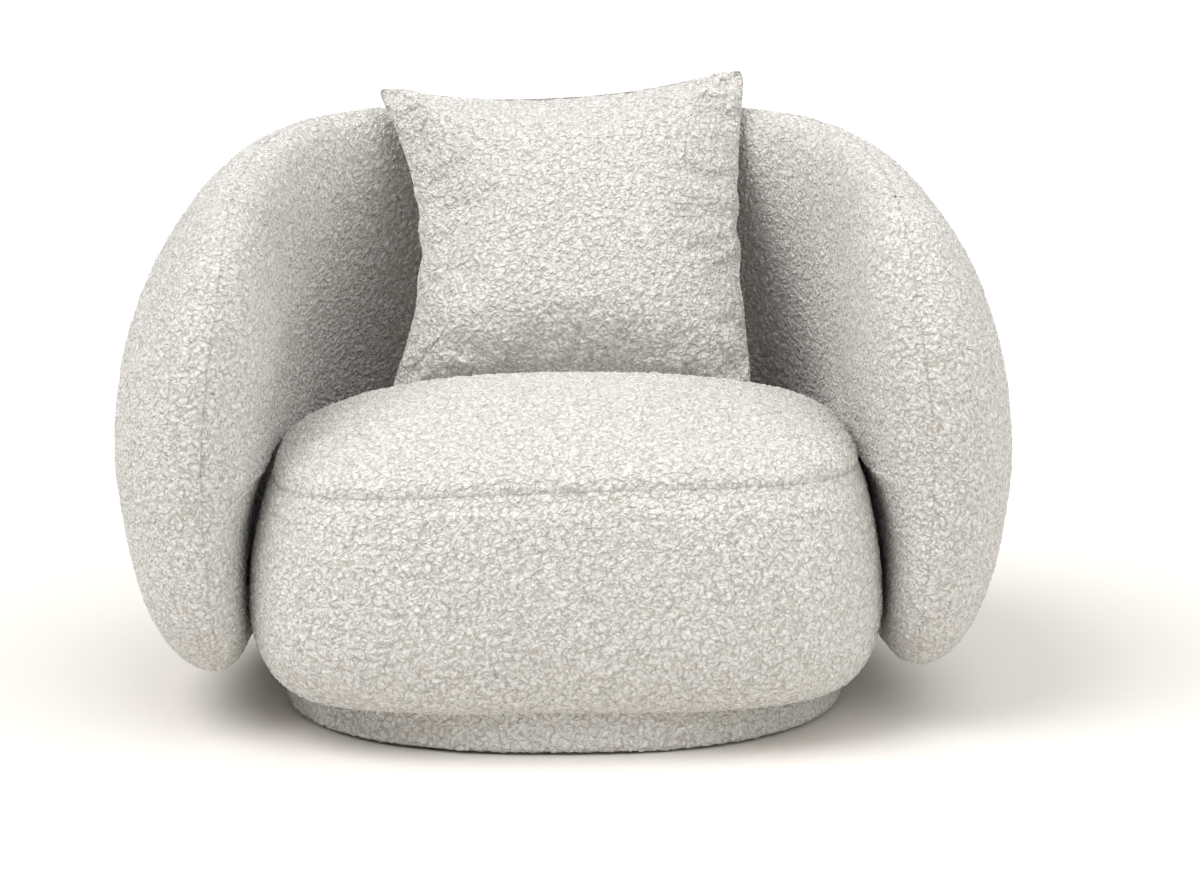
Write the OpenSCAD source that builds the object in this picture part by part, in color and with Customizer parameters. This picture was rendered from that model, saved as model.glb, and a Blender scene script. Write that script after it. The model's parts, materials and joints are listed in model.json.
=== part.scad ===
// Low lounge chair: a horseshoe shell wraps a thick domed seat on an inset plinth,
// with a loose square scatter cushion leaning on the back.
// Millimetres. +X runs across the arms, the front faces -Y, +Z is up.
// The origin is on the floor under the middle of the chair.

/* [Shell] */
// Overall width of the chair across the arms
chair_w = 950; // [940:2:966]
// Distance from the middle of the plan to the rearmost cloth
rear_y = 375; // [370:1:385]
// Height of the seam along the crest of the back
back_h = 604; // [590:2:620]
// Height of the underside of the shell above the floor
shell_lift = 36; // [34:1:44]
// Greatest thickness of the shell outside its middle surface
outer_bulge = 74; // [72:1:76]
// Greatest thickness of the arms inside the shell's middle surface
inner_bulge = 92; // [88:1:92]

/* [Seat] */
// Greatest width of the seat block
seat_w = 664; // [656:2:666]
// Front to rear depth of the seat block
seat_d = 580; // [574:2:584]
// Height of the seam round the seat
seat_seam_h = 262; // [256:1:266]
// Height of the crown of the seat
seat_crown_h = 332; // [326:1:332]

/* [Plinth] */
// Width of the upholstered plinth
plinth_w = 604; // [590:2:606]
// Front to rear depth of the plinth
plinth_d = 544; // [536:2:550]

/* [Cushion] */
// Corner to corner width of the filled cushion
cushion_w = 408; // [396:2:410]
// Greatest thickness of the filled cushion
cushion_t = 130; // [120:2:130]

/* [Hidden] */

cloth_color = "ivory";
foam_color = "wheat";
ply_color = "burlywood";
wood_color = "peru";
steel_color = "silver";
plastic_color = "dimgray";

gap = 0.4;      // clearance between layers that lie on each other
cloth_t = 3;    // thickness of the boucle cloth with its backing
ply_t = 18;     // thickness of the plywood boards
bolt_d = 8;
fine = 64;

// ---------- general shapes ----------

// Signed power, for superelliptic outlines
function spow(b, e) = sign(b) * pow(abs(b), e);

// Point on a superellipse of half sizes rx and ry at parameter t, with exponent n
function oval_point(t, rx, ry, n) = [rx * spow(cos(t), 2 / n), ry * spow(sin(t), 2 / n)];

// Closed solid through a list of closed rings that all have the same even number of points.
// Point j of a ring and point (count - j) face each other, so strips between them close the two ends.
// The quads lean one way before ring number turn and the other way from it on, so that the two faces
// of a slab, and the layers that lie on it, are split along the same diagonals.
// With looped = true the last ring joins the first and there are no ends.
module skin(rings, turn, looped = false) {
    count = len(rings[0]);
    last = len(rings) - 1;
    half = count / 2;
    sides = [
        for (i = [0 : looped ? last : last - 1], j = [0 : count - 1])
            let (a = i * count, b = ((i + 1) % (last + 1)) * count, k = (j + 1) % count)
                each i < turn
                    ? [[a + j, b + k, a + k], [a + j, b + j, b + k]]
                    : [[a + j, b + j, a + k], [a + k, b + j, b + k]]
    ];
    first_end = strip(0, count, half, true);
    last_end = strip(last * count, count, half, false);
    polyhedron(
        points = [for (ring = rings) each ring],
        faces = looped ? sides : concat(sides, first_end, last_end)
    );
}

// A list in reverse order
function reversed(list) = [for (i = [len(list) - 1 : -1 : 0]) list[i]];

// Triangles that close one end ring as a strip across it
function strip(start, count, half, flip) = [
    for (j = [0 : half - 1])
        let (a = start + j, b = start + j + 1, c = start + count - j - 1, d = start + (count - j) % count)
            each [
                if (j < half - 1) flip ? [b, c, a] : [a, c, b],
                if (j > 0) flip ? [a, c, d] : [a, d, c],
            ]
];

// ---------- shell ----------

shell_mid_z = 265;             // height at which the shell is widest and thickest
shell_mid_y = -100;            // where the arms run straight to the front
shell_plan_n = 2.45;           // squareness of the horseshoe's plan
arm_angle = 116;               // the middle surface runs this far round from the rear on each side
crest_in = 82;                 // the crest stands this far in from the widest level, at the arms
crest_in_rear = 48;            // the same at the rear
foot_in = 30;                  // the lower edge stands this far in from the widest level
outline_n_top = 3.8;           // squareness of the outline of the unrolled shell, above the widest level
outline_n_foot = 6.2;          // the same below it
rear_bulge_share = 0.8;        // share of the inner bulge at the rear
spine = 0.65;                  // share of the arm angle over which the shell has its full thickness
edge_n = 3.4;                  // how late the thickness falls away towards the seam
tuck = 0.32;                   // share of the inner bulge that gives way to the widest part of the seat
nose_mm_per_degree = 6;        // length of the middle surface per degree near the nose of an arm
mid_rx = chair_w / 2 - outer_bulge;
mid_ry = rear_y - shell_mid_y - outer_bulge;

// Height above (1 at the crest) or below (-1 at the foot) the widest level
function shell_level(z) =
    z > shell_mid_z ? (z - shell_mid_z) / (back_h - shell_mid_z) : (z - shell_mid_z) / (shell_mid_z - shell_lift);

// Half sizes of the horseshoe's plan at a height
function plan_half(z) =
    let (v = shell_level(z), q = v * v)
        v > 0 ? [mid_rx - crest_in * q, mid_ry - crest_in_rear * q] : [mid_rx - foot_in * q, mid_ry - foot_in * q];

// Point on the middle surface, angle a from the rear (positive towards +X), height z
function mid_point(a, z) =
    let (h = plan_half(z), c = oval_point(90 - a, h[0], h[1], shell_plan_n))
        [c[0], shell_mid_y + c[1], z];

// Level unit direction out of the shell there
function mid_normal(a, z) =
    let (
        h = plan_half(z),
        c = oval_point(90 - a, 1, 1, shell_plan_n),
        g = [spow(c[0], shell_plan_n - 1) / h[0], spow(c[1], shell_plan_n - 1) / h[1], 0]
    ) g / norm(g);

// Point at an offset out of (positive) or into (negative) the shell's middle surface
function shell_point(a, z, offset) = mid_point(a, z) + offset * mid_normal(a, z);

// The inner side gives way to the seat, most of all where the seat is widest
function tuck_factor(z) =
    let (v = shell_level(z)) v > 0 ? 1 : 1 - tuck * pow(sin(180 * min(1, -v)), 0.7);

// The inner side is thinner at the rear than at the arms
function rear_factor(a) = rear_bulge_share + (1 - rear_bulge_share) * pow(sin(min(90, abs(a))), 2);

// A layer of the shell: [inset of its outline, inset of its lower edge, outer bulge, inner bulge]
function outer_layer(inset) = [inset, inset, outer_bulge - inset, inner_bulge - inset];
cover_face = outer_layer(0);
cover_back = outer_layer(cloth_t);
foam_face = outer_layer(cloth_t + gap);
foam_back = [34, 12, outer_bulge - 22, inner_bulge - 60];
board_face = [36, 14, outer_bulge - 24, inner_bulge];
board_back = [40, 18, outer_bulge - 27, inner_bulge];

// Point on one side of a layer. side: 1 outside, -1 inside. r: 0 on the spine, 1 on the outline.
// t: direction round the outline, 0 at the +X nose, 90 at the crest, 270 at the lower edge.
function layer_point(layer, side, r, t, shift = 0) =
    let (
        wide = [cos(t), 2.2 * sin(t)],
        n = wide[1] >= 0 ? outline_n_top : outline_n_foot,
        g = pow(pow(abs(wide[0]), n) + pow(abs(wide[1]), n), 1 / n),
        g_top = pow(pow(abs(wide[0]), outline_n_top) + pow(abs(wide[1]), outline_n_top), 1 / outline_n_top),
        reach = arm_angle - layer[0] / nose_mm_per_degree,
        a = reach * ((1 - r) * spine * wide[0] / g_top + r * wide[0] / g),
        rise = wide[1] >= 0 ? back_h - layer[0] - shell_mid_z : shell_mid_z - shell_lift - layer[1],
        z = shell_mid_z + r * rise * wide[1] / g,
        bulge = side > 0 ? layer[2] : layer[3] * tuck_factor(z) * rear_factor(a),
        h = bulge * sqrt(max(0, 1 - pow(r, edge_n)))
    ) shell_point(a, z, side * (h + shift));

// Ring r of one side of a layer
function layer_ring(layer, side, r, count, shift = 0) =
    [for (j = [0 : count - 1]) layer_point(layer, side, r, 360 * j / count, shift)];

// Slab between two layers on one side of the middle surface, closed along the seam.
// shift holds the two sides a hair apart where they meet at the seam.
module shell_slab(face, back, side) {
    rows = 9;
    count = 64;
    shift = gap / 2;
    shares = [for (i = [1 : rows]) sin(90 * i / rows)];
    back_rings = [for (r = shares) layer_ring(back, side, r, count, shift)];
    face_rings = [for (r = shares) layer_ring(face, side, r, count, shift)];
    if (side > 0)
        skin(concat(face_rings, reversed(back_rings)), rows - 1);
    else
        skin(concat(back_rings, reversed(face_rings)), rows);
}

// Plywood rail that follows the horseshoe: height of its lower face, its height, and its plan
module shell_rail(z, h, reach, offset, width, steps = 40) {
    mid = z + h / 2;
    outer_edge = [for (i = [0 : steps]) shell_point(reach * (2 * i / steps - 1), mid, offset + width / 2)];
    inner_edge = [for (i = [steps : -1 : 0]) shell_point(reach * (2 * i / steps - 1), mid, offset - width / 2)];
    translate([0, 0, z])
        linear_extrude(h)
            polygon([for (p = concat(outer_edge, inner_edge)) [p[0], p[1]]]);
}

base_rail = [104, 2 * ply_t, 92, 0, 22];     // [lower face, height, reach, offset, width]
middle_rail = [296, ply_t, 99, 8, 50];
top_rail = [490, ply_t, 76, 2, 28];
ribs = [[14, 524], [36, 524], [56, 515], [74, 490], [88, 410]];     // [angle, top] on both sides
rib_bottom = base_rail[0] + base_rail[1] + gap;
rib_slack = 8;
rib_t = 15;
connector_at = [[-1, -140], [-1, -66], [1, -140], [1, -66]];    // [side, y] of the connections at the arms
rear_connector_x = [-60, 60];
connector_z = base_rail[0] + base_rail[1] / 2;

module rail_from(spec) shell_rail(spec[0], spec[1], spec[2], spec[3], spec[4]);

module shell_base_rail() {
    color(ply_color)
        difference() {
            rail_from(base_rail);
            connector_bores();
        }
}

module shell_middle_rail() {
    color(ply_color) rail_from(middle_rail);
}

module shell_top_rail() {
    color(ply_color) rail_from(top_rail);
}

// How far the frame space reaches out of (side 1) or into (side -1) the middle surface at a height
function frame_space(a, z, side) =
    let (
        layer = side > 0 ? board_back : foam_back,
        rise = z > shell_mid_z ? back_h - layer[0] - shell_mid_z : shell_mid_z - shell_lift - layer[1],
        r = min(1, abs(z - shell_mid_z) / rise),
        bulge = side > 0 ? layer[2] : layer[3] * tuck_factor(z) * rear_factor(a)
    ) bulge * sqrt(1 - pow(r, edge_n));

// Upright plywood rib at an angle round the horseshoe, shaped to the section of the frame space
module shell_rib(a, top) {
    levels = [rib_bottom, 160, 210, shell_mid_z, 330, 400, 460, 500, top];
    used = [for (z = levels) if (z <= top) z];
    foot = mid_point(a, shell_mid_z);
    n = mid_normal(a, shell_mid_z);
    lean = [for (z = used) (mid_point(a, z) - foot) * n];
    outer_edge = [for (i = [0 : len(used) - 1]) [lean[i] + frame_space(a, used[i], 1) - rib_slack, used[i]]];
    inner_edge = [for (i = [0 : len(used) - 1]) [lean[i] - frame_space(a, used[i], -1) + 3, used[i]]];
    translate([foot[0], foot[1], 0])
        rotate([90, 0, atan2(n[1], n[0])])
            translate([0, 0, -rib_t / 2])
                linear_extrude(rib_t)
                    polygon(concat(outer_edge, reversed(inner_edge)));
}

// Rail grown a little all round, which notches the ribs
module rail_notch(spec) {
    slack = 0.6;
    shell_rail(spec[0] - slack / 2, spec[1] + slack, spec[2], spec[3], spec[4] + slack);
}

module shell_ribs() {
    color(ply_color)
        difference() {
            for (side = [-1, 1], rib = ribs) shell_rib(side * rib[0], rib[1]);
            rail_notch(middle_rail);
            rail_notch(top_rail);
        }
}

// Elastic webbing bands on the inner face of the two upper rails, between the ribs
module back_webbing() {
    band = [50, 2.5];
    color(plastic_color)
        for (side = [-1, 1], a = [0, 25, 46, 65])
            if (a > 0 || side > 0) webbing_band(side * a, band);
}

module webbing_band(a, band) {
    low = shell_point(a, middle_rail[0], middle_rail[3] - middle_rail[4] / 2);
    high = shell_point(a, top_rail[0] + top_rail[1], top_rail[3] - top_rail[4] / 2);
    n = mid_normal(a, 400);
    run = high - low;
    translate(low - 3 * n)
        rotate([0, 0, atan2(n[1], n[0])])
            rotate([0, atan2(run * n, run[2]), 0])
                translate([-band[1], -band[0] / 2, 0])
                    cube([band[1], band[0], norm(run)]);
}

// Bent board that carries the outer foam
module shell_outer_board() {
    color(ply_color) shell_slab(board_face, board_back, 1);
}

module shell_outer_foam() {
    color(foam_color) shell_slab(foam_face, foam_back, 1);
}

module shell_inner_foam() {
    color(foam_color)
        difference() {
            shell_slab(foam_face, foam_back, -1);
            connector_passages();
        }
}

module shell_outer_cover() {
    color(cloth_color) shell_slab(cover_face, cover_back, 1);
}

module shell_inner_cover() {
    color(cloth_color)
        difference() {
            shell_slab(cover_face, cover_back, -1);
            connector_passages();
        }
}

// ---------- connections between the seat frame and the shell ----------

block = [40, 30];               // width and height of a connecting block
post_t = 30;
post_w = 50;
side_post_x = 237;              // inner face of the posts at the arms
rear_post_y = 106;              // inner face of the posts at the rear
washer_t = 1.6;
nut_barrel = [10, 10];          // diameter and depth of a tee nut's barrel
nut_flange = [20, 1.5];         // diameter and thickness of its flange

// Outer face of the base rail, across at a given y and to the rear at a given x
rail_half = plan_half(connector_z);
rail_out = base_rail[3] + base_rail[4] / 2;
function other_half(share) = pow(1 - pow(abs(share), shell_plan_n), 1 / shell_plan_n);
function rail_x(y) = rail_half[0] * other_half((y - shell_mid_y) / rail_half[1]) + rail_out;
function rail_y(x) = shell_mid_y + rail_half[1] * other_half(x / rail_half[0]) + rail_out;

// Places children at each connection with +X pointing from the seat towards the shell.
// $reach is the distance from the inner face of the post to the outer face of the shell's rail.
module at_connections() {
    for (c = connector_at) {
        $reach = rail_x(c[1]) - side_post_x;
        translate([c[0] * side_post_x, c[1], connector_z])
            rotate([0, 0, c[0] > 0 ? 0 : 180])
                children();
    }
    for (x = rear_connector_x) {
        $reach = rail_y(x) - rear_post_y;
        translate([x, rear_post_y, connector_z])
            rotate([0, 0, 90])
                children();
    }
}

// Round solid along a connection from one distance to another
module along(from_x, to_x, d, sides = fine) {
    translate([from_x, 0, 0])
        rotate([0, 90, 0])
            cylinder(h = to_x - from_x, d = d, $fn = sides);
}

module connector_bores() {
    at_connections() {
        along(-20, $reach + 40, bolt_d + 0.6);
        along($reach - nut_barrel[1] - 0.3, $reach + 40, nut_barrel[0] + 0.2);
    }
}

module connector_passages() {
    at_connections()
        translate([post_t, -block[0] / 2 - 1, -block[1] / 2 - 1])
            cube([$reach, block[0] + 2, block[1] + 2]);
}

module connecting_blocks() {
    color(wood_color)
        difference() {
            at_connections()
                translate([post_t + gap, -block[0] / 2, -block[1] / 2])
                    cube([$reach - post_t - base_rail[4] - 4, block[0], block[1]]);
            at_connections() along(-20, $reach, bolt_d + 0.6);
        }
}

module shell_bolts() {
    color(steel_color)
        at_connections() {
            along(-washer_t - 5.5, -washer_t, 13, 6);
            along(-washer_t - 0.5, $reach + 1, bolt_d);
        }
}

module shell_washers() {
    color(steel_color)
        at_connections()
            difference() {
                along(-washer_t + 0.05, -0.05, 20);
                along(-washer_t - 1, 1, bolt_d + 0.6);
            }
}

// Tee nuts pressed into the outer face of the shell's base rail
module shell_nuts() {
    flange_x = 1.2;
    color(steel_color)
        at_connections()
            difference() {
                union() {
                    along($reach + flange_x, $reach + flange_x + nut_flange[1], nut_flange[0]);
                    along($reach - nut_barrel[1], $reach + flange_x + 0.5, nut_barrel[0]);
                }
                along($reach - nut_barrel[1] - 1, $reach + 20, bolt_d + 0.1);
            }
}

// ---------- seat ----------

seat_mid_y = -85;
seat_wide_z = 130;        // height at which the seat is widest
seat_bottom_z = 46;
seat_n_front = 4;         // squareness of the front of the plan
seat_n_rear = 2.3;        // squareness of the rear, which follows the horseshoe
seam_in = 26;             // the seam stands this far in from the widest level
foot_round = 45;          // the lower edge stands this far in from the widest level
crown_n = 2.2;            // fullness of the crown
crown_top_y = -150;       // the crown is highest from here forward
rear_fall = 0.32;         // share of its rise that it loses at the rear
ring_in = 62;             // the plywood rings stand this far in from the cloth
ring_w = 58;
spring_x = [-140, -70, 0, 70, 140];

// How far the side of the seat stands in from its widest level at a height
function seat_in(z) =
    z > seat_wide_z
        ? seam_in * pow((z - seat_wide_z) / (seat_seam_h - seat_wide_z), 2.2)
        : foot_round * (1 - sqrt(max(0, 1 - pow((seat_wide_z - z) / (seat_wide_z - seat_bottom_z), 2))));

// Point of the seat's plan in direction t, set in by a distance and scaled about the middle
function seat_plan(t, inset, share = 1) =
    let (c = oval_point(t, seat_w / 2 - inset, seat_d / 2 - inset, sin(t) < 0 ? seat_n_front : seat_n_rear))
        [share * c[0], seat_mid_y + share * c[1]];

// Directions for even steps round the squarish plan
function plan_step(j, count) = let (u = 360 * j / count) u + 7 * sin(4 * u) * (sin(u) < 0 ? 1 : 0.3);

function seat_ring_at(z, inset, share = 1, count = 48) =
    [for (j = [0 : count - 1]) let (p = seat_plan(plan_step(j, count), inset, share)) [p[0], p[1], z]];

// The crown falls away towards the rear
function crown_fall(y) = let (v = max(0, min(1, (y - crown_top_y) / 330))) 1 - rear_fall * v * v * (3 - 2 * v);

// Ring of the crown, a distance below the cloth's face
function crown_ring(share, depth, count = 48) =
    let (
        rise = (seat_crown_h - seat_seam_h + gap - depth) * sqrt(max(0, 1 - pow(share, crown_n))),
        flat = seat_ring_at(0, seam_in + depth, share, count)
    ) [for (p = flat) [p[0], p[1], seat_seam_h - gap + rise * crown_fall(p[1])]];

crown_shares = [1, 0.985, 0.95, 0.89, 0.8, 0.66, 0.48, 0.28, 0.08];
foam_floor = 172;         // the border foam ends and the seat foam starts at this height
border_levels = [for (k = [0 : 5]) seat_bottom_z + (foam_floor - seat_bottom_z) * (1 - cos(90 * k / 5))];
upper_levels = [for (k = [0 : 4]) foam_floor + (seat_seam_h - gap - foam_floor) * sin(90 * k / 4)];

function side_rings(levels, inset) = [for (z = levels) seat_ring_at(z, seat_in(z) + inset)];

module seat_cover_top() {
    under = [for (s = crown_shares) crown_ring(s, cloth_t)];
    face = [for (s = crown_shares) crown_ring(s, 0)];
    color(cloth_color)
        translate([0, 0, gap])
            skin(concat(reversed(under), face), len(under));
}

module seat_cover_side() {
    levels = concat(border_levels, [for (z = upper_levels) if (z > foam_floor) z]);
    color(cloth_color)
        difference() {
            skin(
                concat(side_rings(levels, 0), reversed(side_rings(levels, cloth_t))),
                len(levels), looped = true);
            connector_passages();
        }
}

module seat_foam() {
    crown = [for (s = crown_shares) if (s < 1) crown_ring(s, cloth_t + gap)];
    color(foam_color) skin(concat(side_rings(upper_levels, cloth_t + gap), crown), len(upper_levels));
}

module seat_border_foam() {
    levels = [for (z = border_levels) min(z, foam_floor - gap)];
    back = [for (z = levels) seat_ring_at(z, ring_in - 2)];
    color(foam_color)
        difference() {
            skin(concat(side_rings(levels, cloth_t + gap), reversed(back)), len(levels), looped = true);
            connector_passages();
        }
}

module seat_outline(inset) {
    polygon([for (t = [0 : 5 : 355]) seat_plan(plan_step(t, 360), inset)]);
}

module seat_ring(z) {
    translate([0, 0, z])
        linear_extrude(ply_t)
            difference() {
                seat_outline(ring_in);
                seat_outline(ring_in + ring_w);
            }
}

base_ring_z = seat_bottom_z;
top_ring_z = 142;
post_z = base_ring_z + ply_t;
post_h = top_ring_z - post_z;

module seat_base_ring() {
    color(ply_color)
        difference() {
            seat_ring(base_ring_z);
            at_plinth_screws() cylinder(h = 200, d = screw_d, $fn = fine);
        }
}

module seat_top_ring() {
    color(ply_color) seat_ring(top_ring_z);
}

module seat_posts() {
    color(wood_color) {
        difference() {
            at_connections()
                translate([0, -post_w / 2, post_z - connector_z])
                    cube([post_t, post_w, post_h]);
            connector_bores();
        }
        for (x = [-150, 0, 150])
            translate([x - post_w / 2, -300, post_z])
                cube([post_w, post_t, post_h]);
    }
}

// Sinuous spring, lying flat: straight bars across, joined by half rings at alternate ends
spring_wire = 3.8;
spring_pitch = 22;
spring_half_w = 18;
spring_turns = 18;
spring_z = top_ring_z + ply_t + 1;
spring_from_y = -292;

module sinuous_spring() {
    linear_extrude(spring_wire)
        for (k = [0 : spring_turns]) {
            translate([-spring_half_w, k * spring_pitch - spring_wire / 2])
                square([2 * spring_half_w, spring_wire]);
            if (k < spring_turns)
                translate([(k % 2 == 0 ? 1 : -1) * spring_half_w, (k + 0.5) * spring_pitch])
                    rotate(k % 2 == 0 ? -90 : 90)
                        half_ring(spring_pitch / 2, spring_wire);
        }
}

module half_ring(r, width) {
    difference() {
        circle(r = r + width / 2, $fn = fine);
        circle(r = r - width / 2, $fn = fine);
        translate([-2 * r, -4 * r])
            square([4 * r, 4 * r]);
    }
}

module seat_springs() {
    color(steel_color)
        for (x = spring_x)
            translate([x, spring_from_y, spring_z])
                sinuous_spring();
}

// Clip that holds the last bar of a spring to the ring
module spring_clips() {
    last_y = spring_from_y + spring_turns * spring_pitch;
    color(steel_color)
        for (x = spring_x, y = [spring_from_y, last_y])
            translate([x - 9, y, top_ring_z + ply_t])
                clip();
}

module clip() {
    inner = spring_wire + 0.8;
    wall = 1.2;
    difference() {
        translate([0, -inner / 2 - wall, 0])
            cube([18, inner + 2 * wall, inner + 1 + wall]);
        translate([-1, -inner / 2, 0.6])
            cube([20, inner, inner + 0.4]);
    }
}

// Straight wires tied across the springs
module spring_ties() {
    color(steel_color)
        for (y = [-215, -105, 5])
            translate([-178, y, spring_z + spring_wire + 1.4])
                rotate([0, 90, 0])
                    cylinder(h = 356, d = 2.4, $fn = fine);
}

module seat_insulator() {
    color("darkgray")
        translate([0, 0, spring_z + spring_wire + 3])
            linear_extrude(2.4)
                seat_outline(ring_in + 8);
}

// ---------- plinth ----------

plinth_mid_y = -60;
plinth_n = 2.45;
glide_h = 5;
plinth_board_t = 12;
plinth_lower_z = glide_h;
plinth_upper_z = seat_bottom_z - gap - plinth_board_t;
plinth_foot = 3;          // the cloth ends this far above the floor
wadding_t = 5;
screw_d = 5;
glide_at = [[0, -285], [0, 165], [-225, -170], [225, -170], [-225, 60], [225, 60]];
plinth_screw_at = [[-130, -290], [130, -290], [-235, -85], [235, -85], [-110, 118], [110, 118]];

module plinth_outline(inset) {
    polygon([
        for (t = [0 : 5 : 355])
            oval_point(t, plinth_w / 2 - inset, plinth_d / 2 - inset, plinth_n) + [0, plinth_mid_y]
    ]);
}

// Level band of the plinth between two insets
module plinth_band(z, h, inset, thickness) {
    translate([0, 0, z])
        linear_extrude(h)
            difference() {
                plinth_outline(inset);
                plinth_outline(inset + thickness);
            }
}

module at_plinth_screws() {
    for (p = plinth_screw_at) translate([p[0], p[1], 0]) children();
}

board_in = cloth_t + wadding_t + 1;

module plinth_board(z) {
    translate([0, 0, z])
        linear_extrude(plinth_board_t)
            plinth_outline(board_in);
}

module plinth_lower_board() {
    color(ply_color)
        difference() {
            plinth_board(plinth_lower_z);
            at_plinth_screws() cylinder(h = 100, d = screw_d, $fn = fine);
            at_plinth_screws() cylinder(h = plinth_lower_z + 4, d = 12, $fn = fine);
            for (p = glide_at) translate([p[0], p[1], 0]) cylinder(h = 100, d = 4, $fn = fine);
        }
}

module plinth_upper_board() {
    color(ply_color)
        difference() {
            plinth_board(plinth_upper_z);
            at_plinth_screws() cylinder(h = 100, d = screw_d, $fn = fine);
        }
}

module plinth_spacers() {
    spacer_z = plinth_lower_z + plinth_board_t;
    color(wood_color)
        difference() {
            plinth_band(spacer_z, plinth_upper_z - spacer_z, board_in + 2, 50);
            at_plinth_screws() cylinder(h = 100, d = screw_d, $fn = fine);
        }
}

module plinth_wadding() {
    color(foam_color)
        plinth_band(plinth_lower_z, seat_bottom_z - gap - plinth_lower_z, cloth_t + gap, wadding_t);
}

module plinth_cover() {
    color(cloth_color) {
        plinth_band(plinth_foot, seat_bottom_z - gap - plinth_foot, 0, cloth_t);
        plinth_band(plinth_foot, plinth_lower_z - gap - plinth_foot, cloth_t - 0.5, 22);
    }
}

module glides() {
    color(plastic_color)
        for (p = glide_at)
            translate([p[0], p[1], 0])
                difference() {
                    cylinder(h = glide_h, d = 28, $fn = fine);
                    translate([0, 0, -1])
                        cylinder(h = glide_h + 2, d = 4.2, $fn = fine);
                    translate([0, 0, -1])
                        cylinder(h = 3.6, d = 9, $fn = fine);
                }
}

module glide_screws() {
    color(steel_color)
        for (p = glide_at)
            translate([p[0], p[1], 1.2]) {
                cylinder(h = 1.3, d = 8, $fn = fine);
                translate([0, 0, 1])
                    cylinder(h = 14, d = 3.8, $fn = fine);
            }
}

module plinth_screws() {
    color(steel_color)
        at_plinth_screws() {
            translate([0, 0, plinth_lower_z + 1])
                cylinder(h = 2.9, d = 10, $fn = fine);
            translate([0, 0, plinth_lower_z + 3])
                cylinder(h = base_ring_z + ply_t - plinth_lower_z - 6, d = screw_d - 0.2, $fn = fine);
        }
}

// ---------- scatter cushion ----------

cushion_lean = 33;
cushion_x = 9;
cushion_edge_y = -12;     // the lower edge of the cushion, at its middle
cushion_edge_z = 334.5;
cushion_pinch = 0.09;     // share by which the sides pull in at their middles
cushion_h = 388;

// Outline and half thickness of the cushion in its own plane
function cushion_point(u, v, half_t, inset) =
    let (
        x = (cushion_w / 2 - inset) * u * (1 - cushion_pinch * (1 - v * v)),
        y = (cushion_h / 2 - inset) * v * (1 - cushion_pinch * (1 - u * u)),
        h = half_t * pow(max(0, (1 - u * u) * (1 - v * v)), 0.42)
    ) [x, y, h];

// Ring that goes round the outline at a share of its size
function cushion_ring(share, half_t, inset, side, count = 40) =
    [for (j = [0 : count - 1])
        let (
            q = [cos(360 * j / count), sin(360 * j / count)],
            m = max(abs(q[0]), abs(q[1])),
            p = cushion_point(share * q[0] / m, share * q[1] / m, half_t, inset)
        ) [p[0], p[1], side * p[2]]];

cushion_shares = [1, 0.97, 0.9, 0.78, 0.6, 0.38, 0.12];

// Slab of one side of the cushion: side 1 faces the sitter, -1 faces the back
module cushion_side(side) {
    half_t = cushion_t / 2;
    face = [for (s = cushion_shares) cushion_ring(s, half_t, 0, side)];
    back = [for (s = cushion_shares) cushion_ring(s, half_t - cloth_t, cloth_t, side)];
    if (side > 0)
        skin(concat(reversed(back), face), len(back));
    else
        skin(concat(reversed(face), back), len(back) - 1);
}

// Places children in the cushion's own plane, leaning on the back
module in_cushion() {
    translate([cushion_x, cushion_edge_y, cushion_edge_z])
        rotate([90 - cushion_lean, 0, 0])
            translate([0, cushion_h / 2 * (1 - cushion_pinch), 0])
                children();
}

module cushion_front() {
    color(cloth_color) in_cushion() translate([0, 0, gap / 2]) cushion_side(1);
}

module cushion_back() {
    color(cloth_color) in_cushion() translate([0, 0, -gap / 2]) cushion_side(-1);
}

module cushion_insert() {
    half_t = cushion_t / 2 - cloth_t - gap;
    inset = cloth_t + 2 * gap;
    front_rings = [for (s = cushion_shares) cushion_ring(s, half_t, inset, 1)];
    back_rings = [for (s = cushion_shares) if (s < 1) cushion_ring(s, half_t, inset, -1)];
    color("white")
        in_cushion()
            skin(concat(reversed(back_rings), front_rings), len(back_rings));
}

// Concealed zip under the lower seam. The seam bows up between its corners, so the zip runs on an arc.
zip_r = pow(cushion_w / 2, 2) / (2 * cushion_pinch * cushion_h / 2);
zip_half_angle = 7;
slider_half_angle = 0.35;
tape_t = 0.7;
coil_r = 0.9;
zip_seam_gap = 0.3;       // the tape lies this far under the seam

// Places children at the centre of the zip's arc, its start pointing along +X of the arc's own plane
module in_zip() {
    in_cushion()
        translate([0, -cushion_h / 2 * (1 - cushion_pinch) - zip_r, 0])
            children();
}

// Ring sector of the zip between two radii, through a thickness centred on the seam
module zip_sector(r_low, r_high, thickness, from_angle, to_angle, offset = 0) {
    rotate([0, 0, 90 + from_angle])
        rotate_extrude(angle = to_angle - from_angle, $fn = 720)
            translate([r_low, offset - thickness / 2])
                square([r_high - r_low, thickness]);
}

tape_top_r = zip_r - zip_seam_gap;
coil_mid_r = tape_top_r - tape_t - coil_r - 0.05;
slider_top_r = tape_top_r - tape_t - 0.4;
slider_low_r = coil_mid_r - coil_r - 0.4;

module zip_tape() {
    color(cloth_color)
        in_zip() zip_sector(tape_top_r - tape_t, tape_top_r, 12, -zip_half_angle, zip_half_angle);
}

module zip_coil() {
    color(plastic_color)
        in_zip()
            rotate([0, 0, 90 - zip_half_angle])
                rotate_extrude(angle = 2 * zip_half_angle, $fn = 720)
                    translate([coil_mid_r, 0])
                        circle(r = coil_r, $fn = 24);
}

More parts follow.
